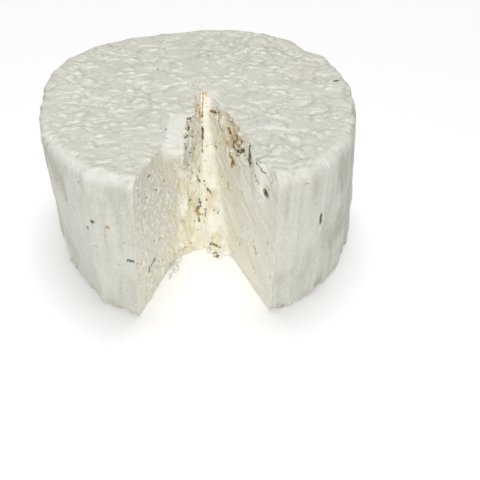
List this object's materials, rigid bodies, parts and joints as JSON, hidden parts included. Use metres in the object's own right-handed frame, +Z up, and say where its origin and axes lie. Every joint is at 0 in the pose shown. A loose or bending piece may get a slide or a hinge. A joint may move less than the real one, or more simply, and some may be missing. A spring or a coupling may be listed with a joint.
{
  "type": "blue cheese wheel",
  "caption": "Round drum of white blue-veined cheese with one wedge cut out, showing smooth cut faces and a torn, crumbly inner end.",
  "frame": {"origin": "middle of the foot of the wheel's box, on the surface it stands on", "axes": "+Z up through the wheel, -Y towards the open wedge"},
  "size_m": [0.2054, 0.1998, 0.1005],
  "materials": {
    "cheese": "moist satin, creamy white, slightly translucent, with blue-green and brown mould flecks"
  },
  "bodies": {
    "root": {"cheese_wheel": "cheese"}
  },
  "joints": []
}
